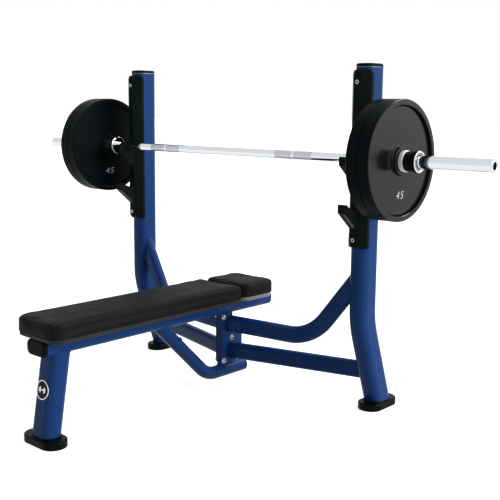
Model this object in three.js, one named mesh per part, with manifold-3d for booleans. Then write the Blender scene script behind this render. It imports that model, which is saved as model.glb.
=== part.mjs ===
// Olympic bench press: a flat bench on a three-footed tube frame, two uprights with two levels
// of hooks, and a loaded barbell that rests in the upper hooks.
// Millimetres. X runs along the bar, Y from the foot end of the bench to the uprights, Z is up.
// Heights are from the floor. Other Y values are from the bar's resting line, and the finished
// group is moved by BAR_Y, which puts the origin under the middle of the footprint.

import * as THREE from 'three';
import { mergeVertices } from 'three/addons/utils/BufferGeometryUtils.js';
import Module from 'manifold-3d';

const wasm = await Module();
wasm.setup();

const X = new THREE.Vector3(1, 0, 0);
const Y = new THREE.Vector3(0, 1, 0);
const Z = new THREE.Vector3(0, 0, 1);

// ---- driving dimensions ----

const GAP = 0.3;                // clearance between pieces that touch
const FAR = 3000;               // larger than the whole object, for cutting
const ROUND = 32;               // segments round a plate
const ROUND_BAR = 24;           // segments round the pieces on the bar
const ROUND_SMALL = 10;         // segments round a bolt

const POST_TUBE = { wide: 97, deep: 72, corner: 30, wall: 3 };   // uprights and front leg
const CROSS_TUBE = { wide: 64, deep: 40, corner: 18, wall: 3 };  // braces and cross tubes
const RAIL_TUBE = { wide: 97, deep: 53, corner: 20, wall: 3 };

const OVERRUN = 40;             // how far a path runs on past the cut that ends its tube

const UPRIGHT = { x: 581, y: 90.4, top: 1225, bendZ: 335, bendRadius: 330, lean: 19.8, arcSteps: 5 };
const CAP = { height: 10, edge: 4 };
const FOOT = { long: 176, wide: 90.6, high: 26.5, bevel: 2, socket: 12 };
const REAR_FOOT_Y = 203;
const FRONT_FOOT_Y = -847.5;
const LEG = { topY: -800, topZ: 290, footY: -843.7, footZ: 27 };

const RAIL = { front: -862, rear: 213, bottom: 297, frontCap: 15, frontEdge: 5, rearCap: 6, rearEdge: 4 };
const BRACE = { z: 250.3, y: 1, bendX: 388, bendY: 49.3, bendRadius: 190, endX: 585, endY: 91.9, rise: 272,
  arcSteps: 6 };
const CROSS = { z: 141.5, y: 5, sweep: 0.27, endX: 585 };
const POST = { wide: 20, front: -40, rear: 30, wall: 3, corner: 4 };
const FLANGE = { thick: 5.7 };
const FLANGE_OUTLINE = [[-40, 112], [-22, 92], [45, 92], [76, 150], [76, 215], [13, 285], [13, 296.7],
  [-40, 296.7]];
const POST_BOLTS = { upper: [-29, 278], middle: [14, 190], lower: [-28, 104] };
const BOLT = { shank: 5, clearance: 0.3, head: 9, headHigh: 6, nutHigh: 7, thread: 1 };
const DROP_TUBE = { radius: 25, wall: 3, topY: -349.6, cornerY: -106, z: 61, end: 105, bendRadius: 110,
  arcSteps: 5, endTaper: 4, endWall: 6 };

const PAD = { halfWide: 115.7, front: -884, split: -24, rear: 172, splitGap: 6, corner: 46,
  splitCorner: 16 };
const PAD_HEIGHTS = { board: 350.3, cushion: 365.5, top: 416.2 };
const BOARD = { inset: 5, edge: 2 };
const CUSHION_EDGE = 14;

const GUARD = { front: 22, nose: 16, side: 38.5, shoulder: 48, rear: 60, cheek: 2, top: 1213,
  seam: 656, end: 608, endProud: 1, chin: [13, 20] };
const GUARD_DOME = { high: 18, deep: 10, rear: 13, steps: 4 };
const GUARD_BOLT_Z = [638, 1172];
const SCREW = { shank: 4, clearance: 0.3, head: 7.5, headHigh: 4, long: 28 };
// Heights on a hook are from the centre of the bar in it.
const HOOK = { wide: 28, spacing: 160, front: -54, rear: 21.7, notch: 15.8, tray: -13.5, top: 6, lip: -37,
  toe: -86, lipRise: 3, lipFoot: -4, lipRun: 10, under: -22 };

const BAR_Z = 919.2;            // centre of the resting bar
const SHAFT = { radius: 15.4, half: 1084 };
const SLEEVE = { radius: 21.2, bore: 15.7, end: 1100, endEdge: 1.5, flange: 36.5, flangeEdge: 2,
  inner: 640, flangeEnd: 655 };
const SLEEVE_PLUG = { from: 1085, to: 1091, hole: 5 };
const PLATE = { radius: 197.4, thick: 43.7, inner: 695, step: 44, hub: 36, bore: 21.6 };
const PLATE_FACE = { rim: 18, recess: 10.5, boss: 47, bossDepth: 1, slope: 3, round: 3.5 };
const COLLAR = { from: 783.3, ring: 15.5, grip: 29.6, ringRadius: 35, gripRadius: 32, innerEdge: 2,
  gripEdge: 1, outerEdge: 3 };

const BADGE = { radius: 33, y: -860, z: 181, thick: 1.6 };

const REAR_EDGE = REAR_FOOT_Y + FOOT.long / 2;
const FRONT_EDGE = FRONT_FOOT_Y - FOOT.wide / 2;
const BAR_Y = -(REAR_EDGE + FRONT_EDGE) / 2;

// ---- materials ----

function material(color, roughness, metalness) {
  return new THREE.MeshStandardMaterial({ color, roughness, metalness });
}

const BLUE_PAINT = material(0x1c4484, 0.4, 0.3);
const BLACK_PLASTIC = material(0x141516, 0.45, 0);
const BLACK_RUBBER = material(0x0f0f10, 0.75, 0);
const VINYL = material(0x2b2b2d, 0.5, 0);
const WOOD = material(0x57504a, 0.8, 0);
const CHROME = material(0xd8dade, 0.12, 1);
const PLATE_COATING = material(0x37373b, 0.6, 0.1);
const ZINC = material(0xb9bcc0, 0.3, 1);

// ---- solids ----

// A closed geometry as a manifold solid.
function solid(geometry) {
  const bare = geometry.clone();
  bare.deleteAttribute('normal');
  bare.deleteAttribute('uv');
  const merged = mergeVertices(bare, 1e-4);
  return new wasm.Manifold(new wasm.Mesh({
    numProp: 3,
    vertProperties: merged.attributes.position.array,
    triVerts: new Uint32Array(merged.index.array),
  }));
}

// A manifold solid as a geometry.
function geometryOf(body) {
  const mesh = body.getMesh();
  const geometry = new THREE.BufferGeometry();
  geometry.setAttribute('position', new THREE.BufferAttribute(new Float32Array(mesh.vertProperties), 3));
  geometry.setIndex(new THREE.BufferAttribute(new Uint32Array(mesh.triVerts), 1));
  const flat = geometry.toNonIndexed();
  flat.computeVertexNormals();
  return flat;
}

// A box between two corners.
function block(low, high) {
  const size = high.map((value, axis) => value - low[axis]);
  const middle = high.map((value, axis) => (value + low[axis]) / 2);
  return solid(new THREE.BoxGeometry(...size).translate(...middle));
}

// A cylinder on a centre, along the X or Y axis.
function rod(radius, length, centre, axis, segments = ROUND_SMALL) {
  const geometry = new THREE.CylinderGeometry(radius, radius, length, segments);
  if (axis === X) geometry.rotateZ(-Math.PI / 2);
  return solid(geometry.translate(...centre));
}

// Everything between two heights.
function layer(low, high) {
  return block([-FAR, -FAR, low], [FAR, FAR, high]);
}

// A profile of [radius, x] points turned about the bar's axis.
function turned(profile, segments = ROUND_BAR) {
  const points = profile.map(([radius, x]) => new THREE.Vector2(radius, x));
  const geometry = new THREE.LatheGeometry([...points, points[0]], segments);
  return geometry.rotateZ(-Math.PI / 2).translate(0, 0, BAR_Z);
}

// ---- outlines ----

// A rectangle with round corners, centred on the origin.
function roundedOutline(target, wide, deep, corner) {
  const x = wide / 2 - corner;
  const y = deep / 2 - corner;
  target.absarc(x, y, corner, 0, Math.PI / 2);
  target.absarc(-x, y, corner, Math.PI / 2, Math.PI);
  target.absarc(-x, -y, corner, Math.PI, 1.5 * Math.PI);
  target.absarc(x, -y, corner, 1.5 * Math.PI, 2 * Math.PI);
  return target;
}

// A tube's cross-section: hollow when it has a wall, or its outer shape grown by a margin.
function section(tube, { hollow = true, grow = 0 } = {}) {
  const shape = roundedOutline(new THREE.Shape(), tube.wide + 2 * grow, tube.deep + 2 * grow,
    tube.corner + grow);
  if (hollow) {
    const hole = roundedOutline(new THREE.Path(), tube.wide - 2 * tube.wall,
      tube.deep - 2 * tube.wall, tube.corner - tube.wall);
    shape.holes.push(hole);
  }
  return shape;
}

function outlineOf(points) {
  return new THREE.Shape(points.map(([u, v]) => new THREE.Vector2(u, v)));
}

// An outline drawn in Y and Z, with a thickness along X from a first X.
function sideProfile(shape, fromX, thick, curveSegments = 4) {
  const geometry = new THREE.ExtrudeGeometry(shape, { depth: thick, bevelEnabled: false, curveSegments });
  const turn = new THREE.Matrix4().makeBasis(Y, Z, X);
  return solid(geometry.applyMatrix4(turn).translate(fromX, 0, 0));
}

// An outline drawn in X and Y, with a height from a first Z.
function upright(shape, fromZ, high, curveSegments = 4) {
  const geometry = new THREE.ExtrudeGeometry(shape, { depth: high, bevelEnabled: false, curveSegments });
  return geometry.translate(0, 0, fromZ);
}

// An outline in X and Y with bevelled top and bottom edges, between two heights.
function bevelled(shape, low, high, bevel, curveSegments, bevelSegments) {
  const geometry = new THREE.ExtrudeGeometry(shape, {
    depth: high - low - 2 * bevel,
    bevelThickness: bevel,
    bevelSize: bevel,
    bevelOffset: -bevel,
    bevelSegments,
    curveSegments,
  });
  return geometry.translate(0, 0, low + bevel);
}

// ---- tube paths ----

// A path through stations, with the section's first direction held along one side vector.
class StationPath extends THREE.Curve {
  constructor(stations, side) {
    super();
    this.stations = stations;
    this.side = side;
  }

  getPointAt(u) {
    const index = Math.round(u * (this.stations.length - 1));
    return this.stations[index].point.clone();
  }

  computeFrenetFrames() {
    const tangents = this.stations.map((station) => station.tangent);
    const normals = this.stations.map(() => this.side);
    const binormals = tangents.map((tangent) => tangent.clone().cross(this.side));
    return { tangents, normals, binormals };
  }
}

function straightPath(start, end, side) {
  const tangent = end.clone().sub(start).normalize();
  return new StationPath([{ point: start, tangent }, { point: end, tangent }], side);
}

// Two straight stretches joined by an arc.
function bentPath(start, corner, end, radius, arcSteps) {
  const into = corner.clone().sub(start).normalize();
  const out = end.clone().sub(corner).normalize();
  const bend = into.angleTo(out);
  const side = into.clone().cross(out).normalize();
  const inward = side.clone().cross(into);
  const arcStart = corner.clone().addScaledVector(into, -radius * Math.tan(bend / 2));
  const stations = [{ point: start, tangent: into }];
  for (let step = 0; step <= arcSteps; step += 1) {
    const turn = bend * step / arcSteps;
    const point = arcStart.clone()
      .addScaledVector(into, radius * Math.sin(turn))
      .addScaledVector(inward, radius * (1 - Math.cos(turn)));
    const tangent = into.clone().multiplyScalar(Math.cos(turn)).addScaledVector(inward, Math.sin(turn));
    stations.push({ point, tangent });
  }
  stations.push({ point: end, tangent: out });
  return new StationPath(stations, side);
}

function tubeAlong(path, shape, curveSegments = 2) {
  return solid(new THREE.ExtrudeGeometry(shape, {
    extrudePath: path,
    steps: path.stations.length - 1,
    curveSegments,
  }));
}

// ---- the assembly ----

const bench = new THREE.Group();
bench.position.y = BAR_Y;

function add(name, shape, finish) {
  const geometry = shape.isBufferGeometry ? shape : geometryOf(shape);
  const mesh = new THREE.Mesh(geometry, finish);
  mesh.name = name;
  bench.add(mesh);
}

const SIDES = [['left', -1], ['right', 1]];

// A tube with its longer section side across the plane it bends in takes these two turned round.
function turnedSection(tube, options) {
  return section({ ...tube, wide: tube.deep, deep: tube.wide }, options);
}

// ---- uprights, leg and feet ----

function uprightPath(sign) {
  const slope = Math.tan(THREE.MathUtils.degToRad(UPRIGHT.lean));
  const x = sign * UPRIGHT.x;
  return bentPath(
    new THREE.Vector3(x, UPRIGHT.y, UPRIGHT.top),
    new THREE.Vector3(x, UPRIGHT.y, UPRIGHT.bendZ),
    new THREE.Vector3(x, UPRIGHT.y + (UPRIGHT.bendZ + OVERRUN) * slope, -OVERRUN),
    UPRIGHT.bendRadius,
    UPRIGHT.arcSteps,
  );
}

function uprightEnvelope(sign) {
  return tubeAlong(uprightPath(sign), turnedSection(POST_TUBE, { hollow: false, grow: GAP }));
}

function legPath() {
  const slope = (LEG.topY - LEG.footY) / (LEG.topZ - LEG.footZ);
  const at = (z) => new THREE.Vector3(0, LEG.topY + (z - LEG.topZ) * slope, z);
  return straightPath(at(RAIL.bottom + OVERRUN), at(-OVERRUN), X);
}

function footOutline() {
  const end = FOOT.wide / 2;
  return roundedOutline(new THREE.Shape(), FOOT.long, FOOT.wide, end);
}

// A rubber boot with a socket for the end of its tube.
function foot(x, y, alongY, tubeEnvelope) {
  const boot = bevelled(footOutline(), 0, FOOT.high, FOOT.bevel, 4, 1);
  if (alongY) boot.rotateZ(Math.PI / 2);
  boot.translate(x, y, 0);
  const socket = tubeEnvelope.intersect(layer(FOOT.socket - GAP, FAR));
  return solid(boot).subtract(socket);
}

// Holes for a guard's two screws, through the guard and the wall behind it.
function screwHoles(sign) {
  const radius = SCREW.shank + SCREW.clearance;
  const holes = GUARD_BOLT_Z.map((z) => rod(radius, UPRIGHT.y, [sign * UPRIGHT.x, UPRIGHT.y / 2, z], Y));
  return holes[0].add(holes[1]);
}

for (const [side, sign] of SIDES) {
  const tube = tubeAlong(uprightPath(sign), turnedSection(POST_TUBE));
  const standing = tube.intersect(layer(FOOT.socket, FAR));
  add(`upright_${side}`, standing.subtract(screwHoles(sign)), BLUE_PAINT);

  const capOutline = turnedSection(POST_TUBE, { hollow: false });
  const capBottom = UPRIGHT.top + GAP;
  const cap = bevelled(capOutline, capBottom - CAP.edge, capBottom + CAP.height, CAP.edge, 3, 2)
    .translate(sign * UPRIGHT.x, UPRIGHT.y, 0);
  add(`upright_cap_${side}`, solid(cap).intersect(layer(capBottom, FAR)), BLACK_PLASTIC);

  add(`foot_${side}`, foot(sign * UPRIGHT.x, REAR_FOOT_Y, true, uprightEnvelope(sign)), BLACK_RUBBER);
}

// ---- bench rail ----

function railPath(from, to) {
  const z = RAIL.bottom + RAIL_TUBE.deep / 2;
  return straightPath(new THREE.Vector3(0, from, z), new THREE.Vector3(0, to, z), X);
}

const railEnvelope = tubeAlong(railPath(RAIL.front - OVERRUN, RAIL.rear + OVERRUN),
  section(RAIL_TUBE, { hollow: false, grow: GAP }));
const benchRail = tubeAlong(railPath(RAIL.front, RAIL.rear), section(RAIL_TUBE), 3);
add('bench_rail', benchRail, BLUE_PAINT);

// An end cap: a rounded plate across the rail's end, turned to face out along Y.
function railCap(from, to, edge) {
  const outline = section(RAIL_TUBE, { hollow: false });
  const plate = bevelled(outline, 0, 2 * (to - from), edge, 3, 2);
  plate.rotateX(Math.PI / 2).translate(0, to, RAIL.bottom + RAIL_TUBE.deep / 2);
  return solid(plate).intersect(block([-FAR, from, 0], [FAR, FAR, FAR]));
}

const rearCap = railCap(RAIL.rear + GAP, RAIL.rear + RAIL.rearCap, RAIL.rearEdge);
const frontCap = railCap(GAP - RAIL.front, RAIL.frontCap - RAIL.front, RAIL.frontEdge).mirror([0, 1, 0]);
add('rail_rear_cap', rearCap, BLUE_PAINT);
add('rail_front_cap', frontCap, BLACK_PLASTIC);

const legEnvelope = tubeAlong(legPath(), section(POST_TUBE, { hollow: false, grow: GAP }));
const frontLeg = tubeAlong(legPath(), section(POST_TUBE))
  .intersect(layer(FOOT.socket, FAR))
  .subtract(railEnvelope)
  .subtract(layer(RAIL.bottom - GAP, FAR));
add('front_leg', frontLeg, BLUE_PAINT);
add('foot_front', foot(0, FRONT_FOOT_Y, false, legEnvelope), BLACK_RUBBER);

// A thin round plate that follows the front of the leg.
function badge() {
  const skin = tubeAlong(legPath(), section(POST_TUBE, { hollow: false, grow: GAP + BADGE.thick }), 4);
  const disc = rod(BADGE.radius, POST_TUBE.deep, [0, BADGE.y, BADGE.z], Y, ROUND_BAR);
  return disc.intersect(skin).subtract(legEnvelope);
}

add('badge_disc', badge(), BLACK_PLASTIC);

// ---- centre post, braces and cross tubes ----

function bracePath(sign) {
  return bentPath(
    new THREE.Vector3(0, BRACE.y, BRACE.z),
    new THREE.Vector3(sign * BRACE.bendX, BRACE.bendY, BRACE.z),
    new THREE.Vector3(sign * BRACE.endX, BRACE.endY, BRACE.z + BRACE.rise),
    BRACE.bendRadius,
    BRACE.arcSteps,
  );
}

function crossPath(sign) {
  const at = (x) => new THREE.Vector3(sign * x, CROSS.y + CROSS.sweep * x, CROSS.z);
  return straightPath(at(0), at(CROSS.endX), Z);
}

function postBoltHoles() {
  const radius = BOLT.shank + BOLT.clearance;
  const holes = Object.values(POST_BOLTS).map(([y, z]) => rod(radius, 3 * POST.wide, [0, y, z], X));
  return holes[0].add(holes[1]).add(holes[2]);
}

function postFlange(sign) {
  const inner = POST.wide / 2 + GAP;
  const fromX = sign > 0 ? inner : -inner - FLANGE.thick;
  return sideProfile(outlineOf(FLANGE_OUTLINE), fromX, FLANGE.thick).subtract(postBoltHoles());
}

function centrePost() {
  const middle = (POST.front + POST.rear) / 2;
  const tube = { ...POST, deep: POST.rear - POST.front };
  const bottom = DROP_TUBE.z + DROP_TUBE.radius + GAP;
  const post = upright(section(tube), bottom, RAIL.bottom - GAP - bottom, 2).translate(0, middle, 0);
  return solid(post).subtract(postBoltHoles());
}

const flangeFace = POST.wide / 2 + GAP + FLANGE.thick;
const betweenFlanges = block([-flangeFace - GAP, -FAR, 0], [flangeFace + GAP, FAR, FAR]);

for (const [side, sign] of SIDES) {
  const cut = betweenFlanges.add(uprightEnvelope(sign));
  add(`brace_${side}`, tubeAlong(bracePath(sign), turnedSection(CROSS_TUBE)).subtract(cut), BLUE_PAINT);
  add(`cross_tube_${side}`, tubeAlong(crossPath(sign), section(CROSS_TUBE)).subtract(cut), BLUE_PAINT);
  add(`post_flange_${side}`, postFlange(sign), BLUE_PAINT);
}
add('centre_post', centrePost(), BLUE_PAINT);

// A bolt through both flanges, with its washer face and nut.
function throughBolt([y, z]) {
  const seat = flangeFace + GAP;
  const shank = rod(BOLT.shank, 2 * (seat + BOLT.nutHigh + BOLT.thread), [0, y, z], X);
  const head = rod(BOLT.head, BOLT.headHigh, [seat + BOLT.headHigh / 2, y, z], X);
  const nut = rod(BOLT.head, BOLT.nutHigh, [-seat - BOLT.nutHigh / 2, y, z], X, 6);
  return shank.add(head).add(nut);
}

for (const [name, place] of Object.entries(POST_BOLTS)) {
  add(`post_bolt_${name}`, throughBolt(place), ZINC);
}

// ---- drop tube from the rail to the foot of the post ----

function dropPath(fromEnd) {
  const slope = (DROP_TUBE.cornerY - DROP_TUBE.topY) / (RAIL.bottom - DROP_TUBE.z);
  return bentPath(
    new THREE.Vector3(0, DROP_TUBE.topY - OVERRUN * slope, RAIL.bottom + OVERRUN),
    new THREE.Vector3(0, DROP_TUBE.cornerY, DROP_TUBE.z),
    new THREE.Vector3(0, DROP_TUBE.end - fromEnd, DROP_TUBE.z),
    DROP_TUBE.bendRadius,
    DROP_TUBE.arcSteps,
  );
}

function dropTube() {
  const { radius, wall, endTaper, endWall } = DROP_TUBE;
  const circle = (size) => new THREE.Shape().absarc(0, 0, size, 0, 2 * Math.PI);
  const outer = tubeAlong(dropPath(endTaper), circle(radius), 8);
  const closedEnd = new THREE.CylinderGeometry(radius - wall, radius, endTaper, 16)
    .translate(0, DROP_TUBE.end - endTaper / 2, DROP_TUBE.z);
  const inner = tubeAlong(dropPath(endTaper + endWall), circle(radius - wall), 6);
  return outer.add(solid(closedEnd)).subtract(inner).subtract(layer(RAIL.bottom - GAP, FAR));
}

add('drop_tube', dropTube(), BLUE_PAINT);

// ---- pads ----

// A pad's plan, centred, with one corner radius at its front end and one at its rear.
function padOutline(halfWide, halfLong, front, rear) {
  const outline = new THREE.Shape();
  outline.absarc(halfWide - rear, halfLong - rear, rear, 0, Math.PI / 2);
  outline.absarc(rear - halfWide, halfLong - rear, rear, Math.PI / 2, Math.PI);
  outline.absarc(front - halfWide, front - halfLong, front, Math.PI, 1.5 * Math.PI);
  outline.absarc(halfWide - front, front - halfLong, front, 1.5 * Math.PI, 2 * Math.PI);
  return outline;
}

function padPiece(pad, inset, low, high, bevel, bevelSegments) {
  const outline = padOutline(PAD.halfWide - inset, (pad.rear - pad.front) / 2 - inset, PAD.corner - inset,
    pad.rearCorner - inset);
  const geometry = bevelled(outline, low, high, bevel, 3, bevelSegments);
  return geometry.translate(0, (pad.front + pad.rear) / 2, 0);
}

const PADS = {
  main: { front: PAD.front, rear: PAD.split, rearCorner: PAD.splitCorner },
  head: { front: PAD.split + PAD.splitGap, rear: PAD.rear, rearCorner: PAD.corner },
};
for (const [name, pad] of Object.entries(PADS)) {
  const boardTop = PAD_HEIGHTS.cushion - GAP;
  const board = padPiece(pad, BOARD.inset, PAD_HEIGHTS.board, boardTop, BOARD.edge, 1);
  const cushion = padPiece(pad, 0, PAD_HEIGHTS.cushion, PAD_HEIGHTS.top, CUSHION_EDGE, 2);
  add(`${name}_pad_board`, board, WOOD);
  add(`${name}_pad`, cushion, VINYL);
}

// ---- guards and hooks ----

// The corners of a guard's plan: a narrow flat nose with slanted cheeks round the front of the upright.
function guardCorners(sign, side, front, rear) {
  const shoulder = Math.min(GUARD.shoulder, rear - GUARD.cheek);
  return [[-side, rear], [-side, shoulder], [-GUARD.nose, front], [GUARD.nose, front], [side, shoulder],
    [side, rear]].map(([x, y]) => [x + sign * UPRIGHT.x, y]);
}

// A level ring of points round a guard, drawn in by a share of the rounding at its top.
function guardRing(sign, z, share) {
  const { deep, rear } = GUARD_DOME;
  const corners = guardCorners(sign, GUARD.side - share * deep, GUARD.front + share * deep,
    GUARD.rear - share * rear);
  return corners.map(([x, y]) => [x, y, z]);
}

// A guard's outside, with its top edge rounded all the way round.
function guardBody(sign) {
  const { high, steps } = GUARD_DOME;
  const points = guardRing(sign, GUARD.seam + GAP, 0);
  for (let step = 0; step <= steps; step += 1) {
    const turn = Math.PI / 2 * step / steps;
    points.push(...guardRing(sign, GUARD.top - high * (1 - Math.sin(turn)), 1 - Math.cos(turn)));
  }
  return wasm.Manifold.hull(points);
}

function guardShell(sign) {
  return guardBody(sign).subtract(uprightEnvelope(sign));
}

function guardEnd(sign) {
  const { rear, end, seam, endProud } = GUARD;
  const [chinDeep, chinHigh] = GUARD.chin;
  const front = GUARD.front - endProud;
  const plan = outlineOf(guardCorners(sign, GUARD.side + endProud, front, rear));
  const body = solid(upright(plan, end, seam - end));
  const chin = sideProfile(outlineOf([[0, 0], [rear, 0], [front + chinDeep, end], [front, end + chinHigh],
    [0, end + chinHigh]]), sign * UPRIGHT.x - rear, 2 * rear);
  return body.subtract(chin).subtract(uprightEnvelope(sign));
}

function guardScrew(sign, z, front) {
  const x = sign * UPRIGHT.x;
  const head = rod(SCREW.head, SCREW.headHigh, [x, front - SCREW.headHigh / 2 - GAP, z], Y);
  const shank = rod(SCREW.shank, SCREW.long, [x, front + SCREW.long / 2 - SCREW.headHigh / 2 - GAP, z], Y);
  return head.add(shank);
}

// A hook's side view, with Y across and height from the bar's centre.
function hookOutline() {
  const shape = new THREE.Shape();
  const { front, rear, notch, tray, top, lip, toe, lipRise, lipFoot, lipRun, under } = HOOK;
  shape.moveTo(rear, toe);
  shape.lineTo(rear, tray);
  shape.absarc(0, 0, notch, Math.asin(tray / notch), Math.asin(tray / notch) - Math.PI / 2, true);
  shape.lineTo(lip + lipRun, lipFoot);
  shape.quadraticCurveTo(lip, 0, lip, lipRise);
  shape.quadraticCurveTo(lip, top, lip - 2 * lipRise, top);
  shape.lineTo(front + lipRise, top);
  shape.lineTo(front, top - lipRise);
  shape.lineTo(front, under);
  shape.closePath();
  return shape;
}

function hook(sign, centreZ) {
  const fromX = sign * UPRIGHT.x - HOOK.wide / 2;
  return sideProfile(hookOutline(), fromX, HOOK.wide, 3).translate([0, 0, centreZ]);
}

for (const [side, sign] of SIDES) {
  const holes = screwHoles(sign);
  add(`guard_${side}`, guardShell(sign).subtract(holes), BLACK_PLASTIC);
  add(`guard_end_${side}`, guardEnd(sign).subtract(holes), BLACK_PLASTIC);
  add(`guard_bolt_lower_${side}`, guardScrew(sign, GUARD_BOLT_Z[0], GUARD.front - GUARD.endProud), ZINC);
  add(`guard_bolt_upper_${side}`, guardScrew(sign, GUARD_BOLT_Z[1], GUARD.front), ZINC);
  add(`hook_upper_${side}`, hook(sign, BAR_Z), BLACK_PLASTIC);
  add(`hook_lower_${side}`, hook(sign, BAR_Z - HOOK.spacing), BLACK_PLASTIC);
}

// ---- barbell ----

const shaft = turned([[0, -SHAFT.half], [SHAFT.radius, -SHAFT.half], [SHAFT.radius, SHAFT.half],
  [0, SHAFT.half]]);
add('bar_shaft', shaft, CHROME);

function sleeveProfile() {
  const { radius, bore, flange, flangeEdge, inner, flangeEnd, end, endEdge } = SLEEVE;
  return [[bore, inner], [flange - flangeEdge, inner], [flange, inner + flangeEdge],
    [flange, flangeEnd - flangeEdge], [flange - flangeEdge, flangeEnd], [radius, flangeEnd],
    [radius, end - endEdge], [radius - endEdge, end], [bore, end]];
}

function plugProfile() {
  const { from, to, hole } = SLEEVE_PLUG;
  return [[hole, from], [SLEEVE.bore - GAP, from], [SLEEVE.bore - GAP, to], [hole, to]];
}

// A plate's coated body, with a recess and a hub boss on both faces.
function plateProfile(from) {
  const { radius, thick, hub } = PLATE;
  const { rim, recess, boss, bossDepth, slope, round } = PLATE_FACE;
  const face = [[hub + GAP, bossDepth], [boss - slope, bossDepth], [boss, recess],
    [radius - rim - slope, recess], [radius - rim, 0], [radius - round, 0], [radius, round]];
  const near = face.map(([r, depth]) => [r, from + depth]);
  const far = face.map(([r, depth]) => [r, from + thick - depth]).reverse();
  return [...near, ...far];
}

function hubProfile(from) {
  const { thick, hub, bore } = PLATE;
  return [[bore, from], [hub, from], [hub, from + thick], [bore, from + thick]];
}

function ringProfile(from, long, radius, chamfer) {
  return [[PLATE.bore, from], [radius - chamfer, from], [radius, from + chamfer],
    [radius, from + long - chamfer], [radius - chamfer, from + long], [PLATE.bore, from + long]];
}

function addMirrored(name, sign, profile, finish, segments) {
  const geometry = turned(profile, segments);
  if (sign < 0) geometry.rotateZ(Math.PI);
  add(name, geometry, finish);
}

const collarPieces = [
  ['collar_inner_ring', COLLAR.from, COLLAR.ring, COLLAR.ringRadius, COLLAR.innerEdge, CHROME],
  ['collar_grip', COLLAR.from + COLLAR.ring + GAP, COLLAR.grip, COLLAR.gripRadius, COLLAR.gripEdge,
    BLACK_RUBBER],
  ['collar_outer_ring', COLLAR.from + COLLAR.ring + COLLAR.grip + 2 * GAP, COLLAR.ring, COLLAR.ringRadius,
    COLLAR.outerEdge, CHROME],
];

for (const [side, sign] of SIDES) {
  addMirrored(`sleeve_${side}`, sign, sleeveProfile(), CHROME);
  addMirrored(`sleeve_plug_${side}`, sign, plugProfile(), BLACK_PLASTIC, 16);
  for (const [index, place] of ['inner', 'outer'].entries()) {
    const from = PLATE.inner + index * PLATE.step;
    addMirrored(`plate_${place}_${side}`, sign, plateProfile(from), PLATE_COATING, ROUND);
    addMirrored(`plate_hub_${place}_${side}`, sign, hubProfile(from), ZINC);
  }
  for (const [name, from, long, radius, chamfer, finish] of collarPieces) {
    addMirrored(`${name}_${side}`, sign, ringProfile(from, long, radius, chamfer), finish);
  }
}

export default bench;
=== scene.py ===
"""The olympic bench press: finer surfaces, padding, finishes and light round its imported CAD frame.

Lengths are in millimetres in the part's own terms: X along the bar, Y from the bar's resting line,
Z from the floor. place() turns them into the row's metres.
"""

import math

import bmesh
import bpy
from mathutils import Matrix, Vector
from mathutils.bvhtree import BVHTree


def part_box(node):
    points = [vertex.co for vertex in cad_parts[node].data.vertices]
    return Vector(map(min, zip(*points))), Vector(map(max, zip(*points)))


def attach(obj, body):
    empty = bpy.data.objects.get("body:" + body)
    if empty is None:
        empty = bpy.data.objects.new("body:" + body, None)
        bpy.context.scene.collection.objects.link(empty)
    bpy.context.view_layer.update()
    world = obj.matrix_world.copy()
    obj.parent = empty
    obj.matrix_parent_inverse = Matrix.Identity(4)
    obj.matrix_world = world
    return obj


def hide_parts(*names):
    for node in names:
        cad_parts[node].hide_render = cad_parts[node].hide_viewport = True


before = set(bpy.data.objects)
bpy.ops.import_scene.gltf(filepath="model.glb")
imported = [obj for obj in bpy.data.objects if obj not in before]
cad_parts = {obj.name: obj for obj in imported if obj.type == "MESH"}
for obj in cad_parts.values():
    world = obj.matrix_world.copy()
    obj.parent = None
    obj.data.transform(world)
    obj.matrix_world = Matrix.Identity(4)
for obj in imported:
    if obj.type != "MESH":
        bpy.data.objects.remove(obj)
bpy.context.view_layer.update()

MM = 0.001
QUARTER = math.pi / 2
BAR_LOW, BAR_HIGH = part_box("bar_shaft")
BAR_Y = (BAR_LOW.y + BAR_HIGH.y) / 2
BAR_Z = (BAR_LOW.z + BAR_HIGH.z) / 2 / MM
SIDES = (("left", -1), ("right", 1))
X, Y, Z = Vector((1, 0, 0)), Vector((0, 1, 0)), Vector((0, 0, 1))


def place(point):
    return Vector((point[0] * MM, point[1] * MM + BAR_Y, point[2] * MM))


def node_box(node):
    """A CAD node's lowest and highest corner in millimetres, with Y from the bar's line."""
    low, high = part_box(node)
    shift = Vector((0, BAR_Y, 0))
    return (low - shift) / MM, (high - shift) / MM


# ---- outlines ----

def cornered(half_x, half_y, radii, steps):
    """A rectangle with a radius for each corner, from (+, +) round to (+, -)."""
    points = []
    for index, (sx, sy) in enumerate(((1, 1), (-1, 1), (-1, -1), (1, -1))):
        radius = radii[index]
        cx, cy = sx * (half_x - radius), sy * (half_y - radius)
        for step in range(steps + 1):
            turn = QUARTER * (index + step / steps)
            points.append((cx + radius * math.cos(turn), cy + radius * math.sin(turn)))
    return points


def rounded(wide, deep, corner, steps=8):
    """A rectangle with equal round corners, as points round its centre."""
    return cornered(wide / 2, deep / 2, [corner] * 4, steps)


def filleted(corners, steps=5):
    """A closed outline of (a, b, radius) corners with each corner rounded."""
    points = []
    for index, (a, b, radius) in enumerate(corners):
        here = Vector((a, b))
        before = Vector(corners[index - 1][:2]) - here
        after = Vector(corners[(index + 1) % len(corners)][:2]) - here
        angle = before.angle(after)
        if radius <= 0 or angle > math.radians(178):
            points.append((a, b))
            continue
        reach = min(radius / math.tan(angle / 2), before.length * 0.49, after.length * 0.49)
        start, end = here + before.normalized() * reach, here + after.normalized() * reach
        for step in range(steps + 1):
            t = step / steps
            point = start * (1 - t) ** 2 + here * 2 * t * (1 - t) + end * t * t
            points.append((point.x, point.y))
    return points


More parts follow.
